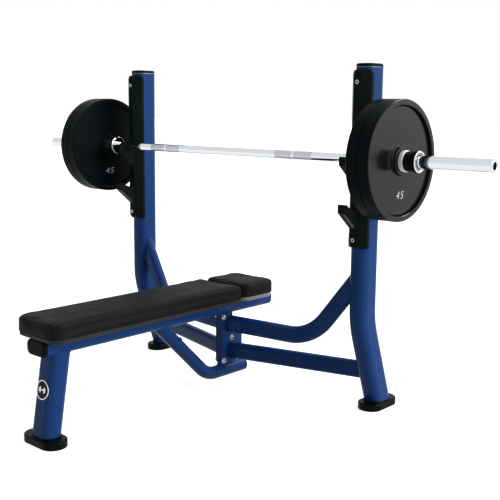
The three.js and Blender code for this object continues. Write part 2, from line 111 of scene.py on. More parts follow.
def circle(radius, steps=48, first=0.0):
    turns = [2 * math.pi * i / steps + first for i in range(steps)]
    return [(radius * math.cos(turn), radius * math.sin(turn)) for turn in turns]


def hexagon(across, first=0.0):
    """A six-sided outline by its width across flats."""
    return circle(across / math.sqrt(3), 6, first)


def shifted(outline, a, b):
    return [(u + a, v + b) for u, v in outline]


def edge_steps(low, high, low_edge, high_edge, inset=0, steps=6):
    """The (inset, height) steps of a side with a round edge below and above."""
    turns = [QUARTER * step / steps for step in range(steps + 1)]
    below = [(inset + low_edge * (1 - math.sin(t)), low + low_edge * (1 - math.cos(t)))
             for t in turns]
    above = [(inset + high_edge * (1 - math.cos(t)), high - high_edge * (1 - math.sin(t)))
             for t in turns]
    return below + above


# ---- surfaces ----

def loft(rings, looped=False):
    """Rings of equal length joined in order, closed end to end or with a flat cap at each end."""
    count = len(rings[0])
    verts = [tuple(point) for ring in rings for point in ring]
    faces = []
    for index in range(len(rings) if looped else len(rings) - 1):
        base, top = index * count, (index + 1) % len(rings) * count
        for i in range(count):
            j = (i + 1) % count
            faces.append((base + i, base + j, top + j, top + i))
    if not looped:
        faces.append(tuple(reversed(range(count))))
        faces.append(tuple(range(len(verts) - count, len(verts))))
    return verts, faces


def swept(stations, side, outline, level=None):
    """An outline carried along stations of (point, tangent) or (point, tangent, inset).

    level is the height that the last ring is cut off at.
    """
    rings = []
    reach = max(math.hypot(u, v) for u, v in outline)
    for point, tangent, *inset in stations:
        across = tangent.cross(side)
        grow = 1 - inset[0] / reach if inset else 1
        rings.append([point + side * (u * grow) + across * (v * grow) for u, v in outline])
    if level is not None:
        tangent = stations[-1][1]
        rings[-1] = [p + tangent * ((level - p.z) / tangent.z) for p in rings[-1]]
    return loft(rings)


def straight(start, end):
    start, end = Vector(start), Vector(end)
    tangent = (end - start).normalized()
    return [(start, tangent), (end, tangent)]


def bent(start, corner, end, radius, steps=24):
    """Stations along two straight stretches joined by an arc, and the bend's side vector."""
    start, corner, end = Vector(start), Vector(corner), Vector(end)
    into, out = (corner - start).normalized(), (end - corner).normalized()
    bend = into.angle(out)
    side = into.cross(out).normalized()
    inward = side.cross(into)
    arc_start = corner - into * radius * math.tan(bend / 2)
    stations = [(start, into)]
    for step in range(steps + 1):
        turn = bend * step / steps
        point = arc_start + into * radius * math.sin(turn) + inward * radius * (1 - math.cos(turn))
        stations.append((point, into * math.cos(turn) + inward * math.sin(turn)))
    stations.append((end, out))
    return stations, side


def slab(wide, deep, corner, low, high, edge_low, edge_high, corner_steps=12, crown=0):
    """A flat piece with round corners in plan and rounded edges above and below."""
    half = min(wide, deep) / 2
    rings = edge_steps(low, high, edge_low, edge_high, steps=5)
    if crown:
        for share in (0.25, 0.5, 0.75, 0.92):
            rings.append((edge_high + (half - edge_high) * share,
                          high + crown * (1 - (1 - share) ** 2)))
    loops = []
    for inset, z in rings:
        room = half - inset
        least = room - 0.01 if inset > corner else 0.5
        radius = min(max(corner - inset, least), room)
        outline = rounded(wide - 2 * inset, deep - 2 * inset, radius, corner_steps)
        loops.append([(x, y, z) for x, y in outline])
    return loft(loops)


def moved(surface, matrix):
    verts, faces = surface
    return [tuple(matrix @ Vector(v)) for v in verts], faces


def prism(outline, low, high, axes):
    """An outline pushed from low to high, with axes for its two directions and its depth."""
    return loft([[axes[0] * a + axes[1] * b + axes[2] * depth for a, b in outline]
                 for depth in (low, high)])


def turned(profile, centre, axis=X, segments=96):
    """A closed profile of (radius, along) points turned about an axis through a centre."""
    centre = Vector(centre)
    first = (Z - axis * axis.z).normalized()
    second = axis.cross(first)
    rings = []
    for radius, along in profile:
        base = centre + axis * along
        rings.append([base + (first * c + second * s) * radius for c, s in circle(1, segments)])
    return loft(rings, looped=True)


# ---- pieces ----


def piece(name, surface, finish, body="frame", node=None, bevel=0, bevel_steps=2,
          sharp=34, hard=True):
    """One closed mesh on a body. node is the CAD node that it stands for.

    An edge of more than sharp degrees stays crisp, and hard evens out the shading of the flat faces
    beside a bevel.
    """
    verts, faces = surface
    mesh = bpy.data.meshes.new(name)
    mesh.from_pydata([place(v) for v in verts], [], faces)
    bm = bmesh.new()
    bm.from_mesh(mesh)
    bmesh.ops.remove_doubles(bm, verts=bm.verts, dist=1e-6)
    bmesh.ops.dissolve_degenerate(bm, edges=bm.edges, dist=1e-7)
    bmesh.ops.recalc_face_normals(bm, faces=bm.faces)
    if bevel:
        edges = folded_edges(bm, 40)
        bmesh.ops.bevel(bm, geom=edges, offset=bevel * MM, segments=bevel_steps, profile=0.6,
                        affect="EDGES", clamp_overlap=True)
    for face in bm.faces:
        face.smooth = True
    for edge in folded_edges(bm, sharp):
        edge.smooth = False
    bm.to_mesh(mesh)
    bm.free()
    mesh.materials.append(finish)
    shape = linked(name, mesh)
    if hard:
        shape.modifiers.new("even_shading", "WEIGHTED_NORMAL").keep_sharp = True
    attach(shape, body)
    if node:
        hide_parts(node)
    return shape


def folded_edges(bm, degrees):
    return [e for e in bm.edges
            if len(e.link_faces) == 2 and e.calc_face_angle() > math.radians(degrees)]


def linked(name, data):
    """A new object in the scene for a mesh, curve, lamp or camera."""
    shape = bpy.data.objects.new(name, data)
    bpy.context.scene.collection.objects.link(shape)
    return shape


def apply_modifier(shape, modifier):
    bpy.context.view_layer.objects.active = shape
    bpy.ops.object.modifier_apply(modifier=modifier.name)


# ---- finishes ----

def add_node(tree, kind, inputs=(), **settings):
    """A new node with its inputs set to values or linked to sockets."""
    made = tree.nodes.new(kind)
    for key, value in settings.items():
        setattr(made, key, value)
    for key, value in dict(inputs).items():
        if isinstance(value, bpy.types.NodeSocket):
            tree.links.new(value, made.inputs[key])
        else:
            made.inputs[key].default_value = value
    return made


class Finish:
    """A material's node tree, built up a step at a time from a Principled shader."""

    def __init__(self, name, color, roughness, metallic=0.0, **extra):
        self.material = bpy.data.materials.new(name)
        self.material.use_nodes = True
        self.tree = self.material.node_tree
        self.shader = self.tree.nodes["Principled BSDF"]
        self.color, self.roughness = color, roughness
        inputs = {"Base Color": (*color, 1), "Roughness": roughness, "Metallic": metallic, **extra}
        for key, value in inputs.items():
            self.shader.inputs[key.replace("_", " ")].default_value = value
        self.where = self.tree.nodes.new("ShaderNodeTexCoord").outputs["Object"]
        self.relief = None

    def node(self, kind, inputs=(), **settings):
        return add_node(self.tree, kind, inputs, **settings)

    def math(self, operation, a, b=0.0):
        return self.node("ShaderNodeMath", {0: a, 1: b}, operation=operation).outputs[0]

    def noise(self, scale, detail=3.0, stretch=(1, 1, 1)):
        mapping = self.node("ShaderNodeMapping", {"Vector": self.where, "Scale": stretch})
        inputs = {"Vector": mapping.outputs[0], "Scale": scale, "Detail": detail}
        return self.node("ShaderNodeTexNoise", inputs).outputs["Fac"]

    def spread(self, value, low, high, start=0.0, end=1.0):
        inputs = {"Value": value, "From Min": start, "From Max": end, "To Min": low, "To Max": high}
        return self.node("ShaderNodeMapRange", inputs).outputs[0]

    def vary_color(self, scale, amount, detail=3.0, stretch=(1, 1, 1)):
        """Mottles the colour towards lighter and darker."""
        share = self.spread(self.noise(scale, detail, stretch), 0, 1, 0.35, 0.65)
        mix = self.node("ShaderNodeMix", {"Factor": share}, data_type="RGBA")
        mix.inputs[6].default_value = (*(c * (1 - amount) for c in self.color), 1)
        mix.inputs[7].default_value = (*(min(1, c * (1 + amount)) for c in self.color), 1)
        self.tree.links.new(mix.outputs[2], self.shader.inputs["Base Color"])

    def vary_roughness(self, scale, amount, stretch=(1, 1, 1)):
        low, high = self.roughness - amount, self.roughness + amount
        value = self.spread(self.noise(scale, 4.0, stretch), low, high, 0.3, 0.7)
        self.tree.links.new(value, self.shader.inputs["Roughness"])

    def bump(self, height, strength, depth):
        """Adds a relief of that depth in millimetres over any already there."""
        inputs = {"Height": height, "Strength": strength, "Distance": depth * MM}
        if self.relief is not None:
            inputs["Normal"] = self.relief
        self.relief = self.node("ShaderNodeBump", inputs).outputs[0]
        self.tree.links.new(self.relief, self.shader.inputs["Normal"])


def coat(slot, name, color, roughness, grains, mottle=None, patches=None, **extra):
    """A finish. Its slot argument, one of the record's slots, is not used.

    mottle varies its colour and patches its roughness. Each grain is a noise's scale and detail,
    or a function that draws it, then the relief's strength and depth, then the noise's stretch.
    """
    made = Finish(name, color, roughness, **extra)
    if mottle:
        made.vary_color(*mottle)
    if patches:
        made.vary_roughness(*patches)
    for source, *rest in grains:
        if callable(source):
            made.bump(source(made), *rest)
        else:
            detail, strength, depth, *stretch = rest
            made.bump(made.noise(source, detail, *stretch), strength, depth)
    return made.material


def pores(made):
    """The fine cells of a leather grain."""
    cells = made.node("ShaderNodeTexVoronoi", {"Vector": made.where, "Scale": 620},
                      feature="DISTANCE_TO_EDGE")
    return made.spread(cells.outputs["Distance"], 0, 1, 0, 0.12)


def diamonds(made, pitch=1.6, around=60):
    """Crossed ridges cut round the bar."""
    axes = made.node("ShaderNodeSeparateXYZ", {0: made.where}).outputs
    across = made.math("SUBTRACT", axes[1], BAR_Y)
    above = made.math("SUBTRACT", axes[2], BAR_Z * MM)
    turn = made.math("MULTIPLY", made.math("ARCTAN2", across, above), around)
    along = made.math("MULTIPLY", axes[0], 2 * math.pi / pitch / MM)
    one = made.math("ABSOLUTE", made.math("SINE", made.math("ADD", along, turn)))
    other = made.math("ABSOLUTE", made.math("SINE", made.math("SUBTRACT", along, turn)))
    return made.math("MINIMUM", one, other)


def moulding(slot, name, color, roughness, shine=0.08):
    return coat(slot, name, color, roughness, [(1400, 2, 0.35, 0.08)], (12, 0.15), (60, 0.06),
                Specular_IOR_Level=shine)


def rubber(slot, name, color, roughness, shine):
    return coat(slot, name, color, roughness, [(900, 4, 0.45, 0.15)], (25, 0.25), (90, 0.08),
                Specular_IOR_Level=shine)


def wood(name, color):
    return coat("board", name, color, 0.62, [(220, 3, 0.3, 0.2, (4, 1, 6))],
                (9, 0.30, 6.0, (6, 1, 40)), (40, 0.08, (1, 1, 8)), Specular_IOR_Level=0.2)


def steel(slot, name, color, roughness, metallic=1.0):
    return coat(slot, name, color, roughness, [(900, 2, 0.15, 0.05, (5, 1, 1))], (40, 0.12),
                (200, 0.07, (6, 1, 1)), metallic=metallic)


def iron(name, color, roughness, shine, pebble):
    """Coated iron with a pebbled skin."""
    return coat("plate_coating", name, color, roughness, [(900, 3, 0.4, pebble), (30, 2, 0.1, 0.3)],
                (14, 0.12), (50, 0.04), Specular_IOR_Level=shine)


# glow lets the ink give off light of its own: a painted glow that makes it read brighter.
def ink(slot, name, color, glow=0.0):
    return coat(slot, name, color, 0.45, [(1500, 2, 0.1, 0.03)], (300, 0.12),
                Emission_Strength=glow, Emission_Color=(1, 1, 1, 1))


PAINT = coat("blue_paint", "blue_powder_coat", (0.0080, 0.045, 0.172), 0.27,
             [(700, 2, 0.08, 0.03)], (3, 0.04), (8, 0.03), Specular_IOR_Level=0.09)
PLASTIC = moulding("black_plastic", "black_moulding", (0.0060, 0.0078, 0.0084), 0.36, 0.03)
BADGE_BLACK = moulding("badge_black", "badge_black", (0.003, 0.003, 0.004), 0.25)
RUBBER = rubber("foot_rubber", "foot_rubber", (0.0016, 0.0022, 0.0024), 0.3, 0.05)
GRIP = rubber("grip_rubber", "grip_rubber", (0.002, 0.0035, 0.0035), 0.5, 0.08)
VINYL = coat("vinyl", "upholstery_vinyl", (0.0078, 0.0078, 0.0081), 0.52,
             [(pores, 0.35, 0.12), (60, 3, 0.15, 0.4)], (9, 0.12), (14, 0.05),
             Specular_IOR_Level=0.055)
THREAD = moulding("vinyl", "seam_thread", (0.010, 0.010, 0.011), 0.6)
# Lit and shaded copies of one wood: the main pad's board is dark as painted shade, and the head
# pad's board is pale as painted light.
MAIN_BOARD_PAINTED_SHADE = wood("board_dark_painted_shade", (0.020, 0.019, 0.018))
HEAD_BOARD_PAINTED_LIGHT = wood("board_pale_painted_light", (0.26, 0.25, 0.24))
CHROME = coat("chrome", "chrome", (0.87, 0.88, 0.89), 0.08, [(500, 2, 0.03, 0.05, (0.2, 1, 1))],
              patches=(120, 0.025, (1, 8, 8)), metallic=1.0)
# A near-white non-metal for the collar's inner ring: its colour is a painted reflection of bright
# chrome.
SATIN_PAINTED_REFLECTION = steel("chrome", "satin_chrome_painted_reflection", (0.96, 0.96, 0.97), 0.2, metallic=0.0)
KNURL = coat("chrome", "chrome_knurl", (0.62, 0.62, 0.64), 0.22,
             [(diamonds, 0.5, 0.18)], metallic=1.0)
ZINC = steel("bolt_steel", "zinc_steel", (0.50, 0.50, 0.52), 0.28)
HUB = steel("hub_steel", "hub_steel", (0.012, 0.012, 0.013), 0.35)
# Steel for the strip on the lower hooks. Its lighter tone also paints the highlight along their
# edge.
PAINTED_HIGHLIGHT_STRIP = steel("bolt_steel", "strip_steel_painted_highlight", (0.15, 0.16, 0.17), 0.4, 0.6)
# A lighter blue-grey that paints the highlight along each upright's top edge, under its cap.
PAINTED_HIGHLIGHT_TRIM = steel("bolt_steel", "trim_painted_highlight", (0.15, 0.19, 0.27), 0.4)
PLATE_EDGE = iron("plate_black", (0.0014, 0.0034, 0.0042), 0.4, 0.04, pebble=0.12)
PLATE_FACE = iron("plate_grey", (0.0046, 0.0045, 0.0060), 0.19, 0.29, pebble=0.01)
WHITE_INK = ink("plate_coating", "white_ink", (0.62, 0.62, 0.63))
# The badge's white print also glows a little. This is a painted glow, not a lamp.
BADGE_INK_PAINTED_GLOW = ink("badge_black", "badge_ink_painted_glow", (0.92, 0.92, 0.92), glow=0.32)

# ---- weld beads ----

def box_distance(u, v, wide, deep, corner):
    """How far a point is outside a rectangle with round corners."""
    a, b = abs(u) - wide / 2 + corner, abs(v) - deep / 2 + corner
    return math.hypot(max(a, 0), max(b, 0)) + min(max(a, b), 0) - corner


def crossing(start, heading, distance, reach, steps=120):
    """Where a line from start first comes to a surface, or None."""
    for index in range(steps):
        near, far = reach * index / steps, reach * (index + 1) / steps
        if distance(start + heading * near) > 0 >= distance(start + heading * far):
            for _ in range(24):
                middle = (near + far) / 2
                outside = distance(start + heading * middle) > 0
                near, far = (middle, far) if outside else (near, middle)
            return start + heading * far
    return None


def cord(name, line, axis, radii, finish):
    """A round cord along a closed loop of points, with a radius for each point."""
    rings = []
    for i, point in enumerate(line):
        tangent = (line[(i + 1) % len(line)] - line[i - 1]).normalized()
        out = tangent.cross(axis).normalized()
        up = out.cross(tangent)
        rings.append([point + out * a + up * b for a, b in circle(radii[i], 10)])
    piece(name, loft(rings, looped=True), finish, sharp=60)


def weld(name, loop, axis, radius=2.4, per_ripple=6, pitch=5):
    """A bead laid round a closed loop of points, with the ripple of a hand weld."""
    steps = [after - point for point, after in zip(loop, loop[1:] + loop[:1])]
    length = sum(step.length for step in steps)
    total = max(8, round(length / pitch)) * per_ripple
    fine = []
    for i in range(total):
        along, at = length * i / total, 0
        while along > steps[at].length:
            along -= steps[at].length
            at = (at + 1) % len(steps)
        fine.append(loop[at] + steps[at] * (along / max(steps[at].length, 1e-9)))
    radii = [radius * (1 + 0.10 * math.sin(2 * math.pi * i / per_ripple)) for i in range(total)]
    cord(name, fine, axis, radii, PAINT)


# ---- frame tubes ----

POST = (97, 72, 30)
CROSS = (64, 40, 18)
RAIL = (97, 53, 20)
RAIL_Z = 323.5
UPRIGHT_X, UPRIGHT_Y, UPRIGHT_TOP = 581, 90.4, 1225
BEND_Z, LEAN = 335, math.radians(19.8)
FOOT_REAR_Y, FOOT_FRONT_Y = 203, -847.5
FOOT_SOCKET = 12
BRACE_Z, CROSS_Z = 250.3, 141.5
ARM_START, ARM_END, BRACE_BEND = 12, 585, 190
BRACE_ROUTE = ((ARM_START, 1.5, BRACE_Z), (388, 49.3, BRACE_Z), (ARM_END, 91.9, 522.3))
CROSS_ROUTE = ((ARM_START, 8.2, CROSS_Z), (ARM_END, 5 + 0.27 * ARM_END, CROSS_Z))
FLANGE_IN, FLANGE_OUT, FLANGE_WELD = 10.2, 16, 16.2


def from_upright(sign):
    """How far a point is outside the upright's tube, straight or leaning."""
    def distance(point):
        u = point.x - sign * UPRIGHT_X
        v = point.y - UPRIGHT_Y
        if point.z < BEND_Z:
            v = v * math.cos(LEAN) + (point.z - BEND_Z) * math.sin(LEAN)
        return box_distance(u, v, POST[1], POST[0], POST[2])
    return distance


def from_rail(point):
    return box_distance(point.x, point.z - RAIL_Z, *RAIL)


def tube_loop(start, heading, side, outline, distance, reach):
    """Where a tube's outline, pushed on from start, comes to a surface."""
    across = heading.cross(side)
    found = [crossing(start + side * u + across * v, heading, distance, reach) for u, v in outline]
    return [point for point in found if point]


def loop_on_flange(start, heading, side, outline, sign):
    """Where a tube's outline comes through the outer face of a post flange."""
    across = heading.cross(side)
    loop = [start + side * u + across * v for u, v in outline]
    return [p + heading * ((sign * FLANGE_WELD - p.x) / heading.x) for p in loop]


def tube(name, stations, side, outline, node, level=None, sharp=34):
    piece(name, swept(stations, side, outline, level), PAINT, node=node, sharp=sharp)


def upright(side, sign):
    x = sign * UPRIGHT_X
    foot_y = UPRIGHT_Y + (BEND_Z - FOOT_SOCKET) * math.tan(LEAN)
    stations, turn = bent((x, UPRIGHT_Y, UPRIGHT_TOP), (x, UPRIGHT_Y, BEND_Z),
                          (x, foot_y, FOOT_SOCKET), 330)
    top, down = stations[0]
    lip = [(top, down, 2.4), (top + down * 0.5, down, 1.0), (top + down * 1.6, down)]
    outline = rounded(POST[1], POST[0], POST[2], 10)
    tube(f"upright_tube_{side}", lip + stations[1:], turn, outline, f"upright_{side}",
         FOOT_SOCKET, 60)


def mirrored(route, sign):
    return [(sign * x, y, z) for x, y, z in route]


def welded_arm(kind, name, node, side, sign, stations, turn, outline, back, reach):
    """A tube from the centre post to an upright, with the bead at each end."""
    tube(name, stations, turn, outline, node)
    end, heading = stations[-1]
    loop = tube_loop(end - heading * back, heading, turn, outline, from_upright(sign), reach)
    weld(f"weld_{kind}_upright_{side}", loop, heading)
    start, heading = stations[0]
    weld(f"weld_{kind}_post_{side}", loop_on_flange(start, heading, turn, outline, sign), X)


for side, sign in SIDES:
    upright(side, sign)
    stations, turn = bent(*mirrored(BRACE_ROUTE, sign), BRACE_BEND)
    welded_arm("brace", f"brace_tube_{side}", f"brace_{side}", side, sign, stations, turn,
               rounded(CROSS[1], CROSS[0], CROSS[2], 8), 150, 170)
    stations = straight(*mirrored(CROSS_ROUTE, sign))
    welded_arm("cross", f"cross_tube_fine_{side}", f"cross_tube_{side}", side, sign, stations, Z,
               rounded(*CROSS, 8), 120, 140)

rail_low, rail_high = node_box("bench_rail")
tube("bench_rail_tube", straight((0, rail_low.y, RAIL_Z), (0, rail_high.y, RAIL_Z)), X,
     rounded(*RAIL, 10), "bench_rail")

LEG_TOP, LEG_FOOT = Vector((0, -800, 290)), Vector((0, -843.7, 27))
leg_heading = (LEG_TOP - LEG_FOOT).normalized()
leg_low = LEG_FOOT - leg_heading * ((LEG_FOOT.z - FOOT_SOCKET) / leg_heading.z)
leg_high = LEG_TOP + leg_heading * 18
leg_outline = rounded(*POST, 10)
tube("front_leg_tube", straight(leg_high, leg_low), X, leg_outline, "front_leg", FOOT_SOCKET)
weld("weld_leg_rail", tube_loop(LEG_TOP - leg_heading * 40, leg_heading, X, leg_outline,
                                lambda p: from_rail(p) - 0.6, 64), leg_heading)

DROP_R, DROP_Z, DROP_BEND, DROP_OVERLAP = 25, 61, 110, 6
DROP_TOP_Y, DROP_TOP_Z, DROP_CORNER_Y, DROP_END_Y = -349.6, 297, -106, 98
PLUG = [(0.01, 22), (7, 22), (7.6, 25), (7.6, 26.6), (7, 28), (5, 29.6), (2.5, 30.4),
        (0.01, 30.6)]
PLUG_FROM, PLUG_DOWN = Vector((0, -297, 246)), 47


def drop_tube():
    """The round tube from the rail down through the centre post, closed at its rear end."""
    back = DROP_OVERLAP * (DROP_CORNER_Y - DROP_TOP_Y) / (DROP_TOP_Z - DROP_Z)
    stations, side = bent((0, DROP_TOP_Y - back, DROP_TOP_Z + DROP_OVERLAP),
                          (0, DROP_CORNER_Y, DROP_Z), (0, DROP_END_Y, DROP_Z), DROP_BEND)
    (start, down), (end, level) = stations[0], stations[-1]
    turns = [QUARTER * step / 8 for step in range(1, 9)]
    closing = [(7 * math.sin(turn), 6 * (1 - math.cos(turn))) for turn in turns]
    for ahead, inset in closing + [(7.2, 15), (6.6, 17), (6.6, 24)]:
        stations.append((end + level * ahead, level, inset))
    outline = circle(DROP_R, 40)
    tube("drop_tube_fine", stations, side, outline, "drop_tube", sharp=50)
    weld("weld_drop_rail", tube_loop(start + down * 60, -down, side, outline, from_rail, 80), down)
    return down


def drop_plug(down):
    """A small plug in the drop tube's upper side."""
    out = Vector((0, -down.z, down.y))
    piece("drop_tube_plug", turned(PLUG, PLUG_FROM + down * PLUG_DOWN, out, 32), PLASTIC)


drop_plug(drop_tube())

# ---- centre post ----

post_low, post_high = node_box("centre_post")
post_mid = (post_low.y + post_high.y) / 2


def post_outline(proud=0):
    outline = rounded(post_high.x - post_low.x + proud, post_high.y - post_low.y + proud, 4, 5)
    return shifted(outline, 0, post_mid)


piece("centre_post_fine", prism(post_outline(), post_low.z, post_high.z + 0.3, (X, Y, Z)), PAINT,
      node="centre_post", bevel=0.8)
weld("weld_post_drop", [Vector((x, y, DROP_Z + math.sqrt(DROP_R ** 2 - x * x) + 0.6))
                        for x, y in post_outline(1)], Z, 2.2)
FLANGE = [(-40, 112, 6), (-22, 92, 8), (45, 92, 14), (76, 150, 16), (76, 215, 16), (13, 285, 8),
          (13, 297, 0), (-40, 297, 0)]
for side, sign in SIDES:
    inner, outer = sorted((sign * FLANGE_IN, sign * FLANGE_OUT))
    piece(f"post_flange_fine_{side}", prism(filleted(FLANGE), inner, outer, (Y, Z, X)), PAINT,
          node=f"post_flange_{side}", bevel=0.9)
    corners = ((10.5, -40), (FLANGE_WELD, -40), (FLANGE_WELD, 13), (10.5, 13))
    weld(f"weld_flange_rail_{side}", [Vector((sign * x, y, 297)) for x, y in corners], Z, 2.0)

WASHER = [(5.2, 16.1), (10.2, 16.1), (10.8, 16.6), (10.8, 17.5), (10.2, 18), (5.2, 18)]
BOLT_HEAD = [(0.01, 16), (0.01, 20), (4.4, 20.2), (4.6, 23.6), (5.2, 24), (6.8, 23.7), (8.2, 22.6),
             (8.6, 21.4), (8.6, 17.8), (5, 17.8), (5, 16)]
BOLT_END = [(0.01, -24), (4.8, -24), (4.8, -26.8), (4.0, -27.6), (0.01, -27.6)]


def through_bolt(name, node):
    """Bolt head and washer on one flange, nut, washer and thread end on the other."""
    low, high = node_box(node)
    y, z = (low.y + high.y) / 2, (low.z + high.z) / 2
    centre = (0, y, z)
    piece(f"{name}_washer_head", turned(WASHER, centre, X, 48), ZINC)
    piece(f"{name}_washer_nut", turned([(r, -x) for r, x in WASHER], centre, X, 48), ZINC)
    piece(f"{name}_head", turned(BOLT_HEAD, centre, X, 48), ZINC, node=node)
    piece(f"{name}_socket", prism(shifted(hexagon(8.2, 0.3), y, z), 19.4, 20.6, (Y, Z, X)), GRIP,
          bevel=0.2)
    piece(f"{name}_nut", prism(shifted(hexagon(15.5, 0.4), y, z), -24.2, -17.8, (Y, Z, X)), ZINC,
          bevel=0.8)
    piece(f"{name}_thread", turned(BOLT_END, centre, X, 32), ZINC)


for level in ("upper", "middle", "lower"):
    through_bolt(f"bolt_{level}", f"post_bolt_{level}")

# ---- caps and feet ----

foot_low, foot_high = node_box("foot_front")
FOOT_WIDE, FOOT_DEEP, FOOT_HIGH = foot_high.x - foot_low.x, foot_high.y - foot_low.y, foot_high.z
LIP_Z = FOOT_HIGH + 0.4


def boot(name, node, x, y, along_y, loop):
    """A rubber boot with a soft lip where the tube comes out of it."""
    body = slab(FOOT_WIDE, FOOT_DEEP, FOOT_DEEP / 2, 0, FOOT_HIGH, 2.0, 5.0, corner_steps=14)
    turn = Matrix.Rotation(QUARTER if along_y else 0, 4, "Z")
    piece(name, moved(body, Matrix.Translation((x, y, 0)) @ turn), RUBBER, node=node)
    cord(f"{name}_lip", loop, Z, [2.6] * len(loop), RUBBER)


def section_at(z, centre_y, heading, outline, x):
    """A leaning tube's outline where it comes through a level plane."""
    across = heading.cross(X)
    base = Vector((x, centre_y, z))
    points = [base + X * u + across * v for u, v in outline]
    return [point - heading * ((point.z - z) / heading.z) for point in points]


for side, sign in SIDES:
    x = sign * UPRIGHT_X
    heading = Vector((0, -math.sin(LEAN), math.cos(LEAN)))
    centre_y = UPRIGHT_Y + (BEND_Z - FOOT_HIGH) * math.tan(LEAN)
    loop = section_at(LIP_Z, centre_y, heading, rounded(74, 99, 31, 10), x)
    boot(f"boot_{side}", f"foot_{side}", x, FOOT_REAR_Y, True, loop)
    matrix = Matrix.Translation((x, UPRIGHT_Y, 0))
    # A thin lighter ring under the cap: a painted highlight on the tube's top edge.
    painted_highlight_ring = slab(74.8, 99.8, 31.4, UPRIGHT_TOP - 3.6, UPRIGHT_TOP - 0.4, 0.7, 3)
    cap = slab(72.6, 97.6, 30.3, UPRIGHT_TOP, UPRIGHT_TOP + 10.2, 0.8, 7, crown=0.1)
    piece(f"top_trim_painted_highlight_{side}", moved(painted_highlight_ring, matrix), PAINTED_HIGHLIGHT_TRIM)
    piece(f"top_cap_{side}", moved(cap, matrix), PLASTIC, node=f"upright_cap_{side}")
foot_y = LEG_FOOT.y + (FOOT_HIGH - LEG_FOOT.z) * leg_heading.y / leg_heading.z
boot("boot_front", "foot_front", 0, FOOT_FRONT_Y, False,
     section_at(LIP_Z, foot_y, leg_heading, rounded(99, 74, 31, 10), 0))


def rail_end(name, node, finish, edge, facing):
    """A cap over an end of the rail, facing the foot end (-1) or the rear (1)."""
    low, high = node_box(node)
    cap = slab(97.4, 53.4, 20.2, 0, high.y - low.y + 0.6, 0.8, edge, corner_steps=10, crown=0.8)
    turn = Matrix.Rotation(-facing * QUARTER, 4, "X")
    y = low.y - 0.3 if facing > 0 else high.y + 0.3
    piece(name, moved(cap, Matrix.Translation((0, y, RAIL_Z)) @ turn), finish, node=node)


rail_end("rail_cap_front", "rail_front_cap", PLASTIC, 7, -1)
rail_end("rail_cap_rear", "rail_rear_cap", PAINT, 5, 1)

# ---- badge on the front leg ----

badge_low, badge_high = node_box("badge_disc")
BADGE_Z = (badge_low.z + badge_high.z) / 2 - 6
BADGE_R = 33
leg_back = leg_heading.cross(X)


def leg_surface(across, along, proud):
    """A point on the front of the leg, by distance round it and distance up it from the badge."""
    half_deep, corner = POST[1] / 2, POST[2]
    flat = POST[0] / 2 - corner
    reach = abs(across)
    if reach <= flat:
        u, v = reach, -half_deep - proud
    else:
        turn = (reach - flat) / corner
        u = flat + (corner + proud) * math.sin(turn)
        v = -half_deep + corner - (corner + proud) * math.cos(turn)
    u = math.copysign(u, across)
    base = LEG_FOOT + leg_heading * ((BADGE_Z - LEG_FOOT.z) / leg_heading.z + along)
    return base + X * u + leg_back * v


def on_leg(name, loops, finish, node=None):
    """Loops of (outline, height off the paint) wrapped on the leg and joined in order."""
    rings = [[leg_surface(a, b, proud) for a, b in outline] for outline, proud in loops]
    piece(name, loft(rings, looped=True), finish, node=node, sharp=60)


def printed(name, outer, inner):
    on_leg(name, ((outer, 0.8), (outer, 1.2), (inner, 1.2), (inner, 0.8)), BADGE_INK_PAINTED_GLOW)


disc = [(BADGE_R, 0.0), (BADGE_R, 0.6), (BADGE_R - 0.5, 0.9), (BADGE_R * 0.75, 0.9),
        (BADGE_R * 0.5, 0.9), (BADGE_R * 0.25, 0.9), (0.2, 0.9), (0.2, 0.0)]
on_leg("badge_disc_wrapped", [(circle(radius, 72), proud) for radius, proud in disc], BADGE_BLACK,
       "badge_disc")
printed("badge_ring_0", circle(BADGE_R - 1.2, 72), circle(BADGE_R - 4.4, 72))
for index, (wide, high, x) in enumerate(((22, 4, 0), (4.5, 20, -10), (4.5, 20, 10),
                                         (4, 13, -15.5), (4, 13, 15.5))):
    bar = shifted(rounded(wide, high, 1.2, 4), x, 0)
    printed(f"badge_dumbbell_{index}", bar, [(x + (a - x) * 0.02, b * 0.02) for a, b in bar])

# ---- guards ----

GUARD_FRONT, GUARD_TOP, GUARD_SEAM, GUARD_END = 22, 1213, 656, 608
GUARD_SIDE, GUARD_REAR, GUARD_CHEEK = 38.5, 60, 48
DOME_HIGH, DOME_DEEP, DOME_REAR, DOME_STEPS = 18, 10, 13, 14
HOLLOW_R, HOLLOW_X, HOLLOW_Y = 30.3, 6, 71.9
NOSE_FACE = GUARD_FRONT - 2
SCREW = [(3.3, -0.6), (3.6, -3.2), (4.2, -3.8), (6.2, -3.6), (7.2, -2.6), (7.5, 0.4), (3.3, 0.4)]


def guard_ring(sign, z, front=GUARD_FRONT, proud=0.0, inset=0.0, nose=16, rear=GUARD_REAR):
    """The guard's plan at one height: a narrow nose, slanted cheeks and the hollow behind."""
    side, cheek = GUARD_SIDE + proud - inset, min(GUARD_CHEEK, rear - 3)
    corners = [(-side, rear, 1.5), (-side, cheek, 6), (-nose, front + inset, 3),
               (nose, front + inset, 3), (side, cheek, 6), (side, rear, 1.5)]
    points = filleted(corners, 4)
    start = math.asin((rear - HOLLOW_Y) / HOLLOW_R)
    for hand in (1, -1):
        for step in range(9):
            share = step / 8 if hand > 0 else 1 - step / 8
            turn = start + (-QUARTER - start) * share
            points.append((hand * (HOLLOW_X + HOLLOW_R * math.cos(turn)),
                           HOLLOW_Y + HOLLOW_R * math.sin(turn)))
    return [(x + sign * UPRIGHT_X, y, z) for x, y in points]


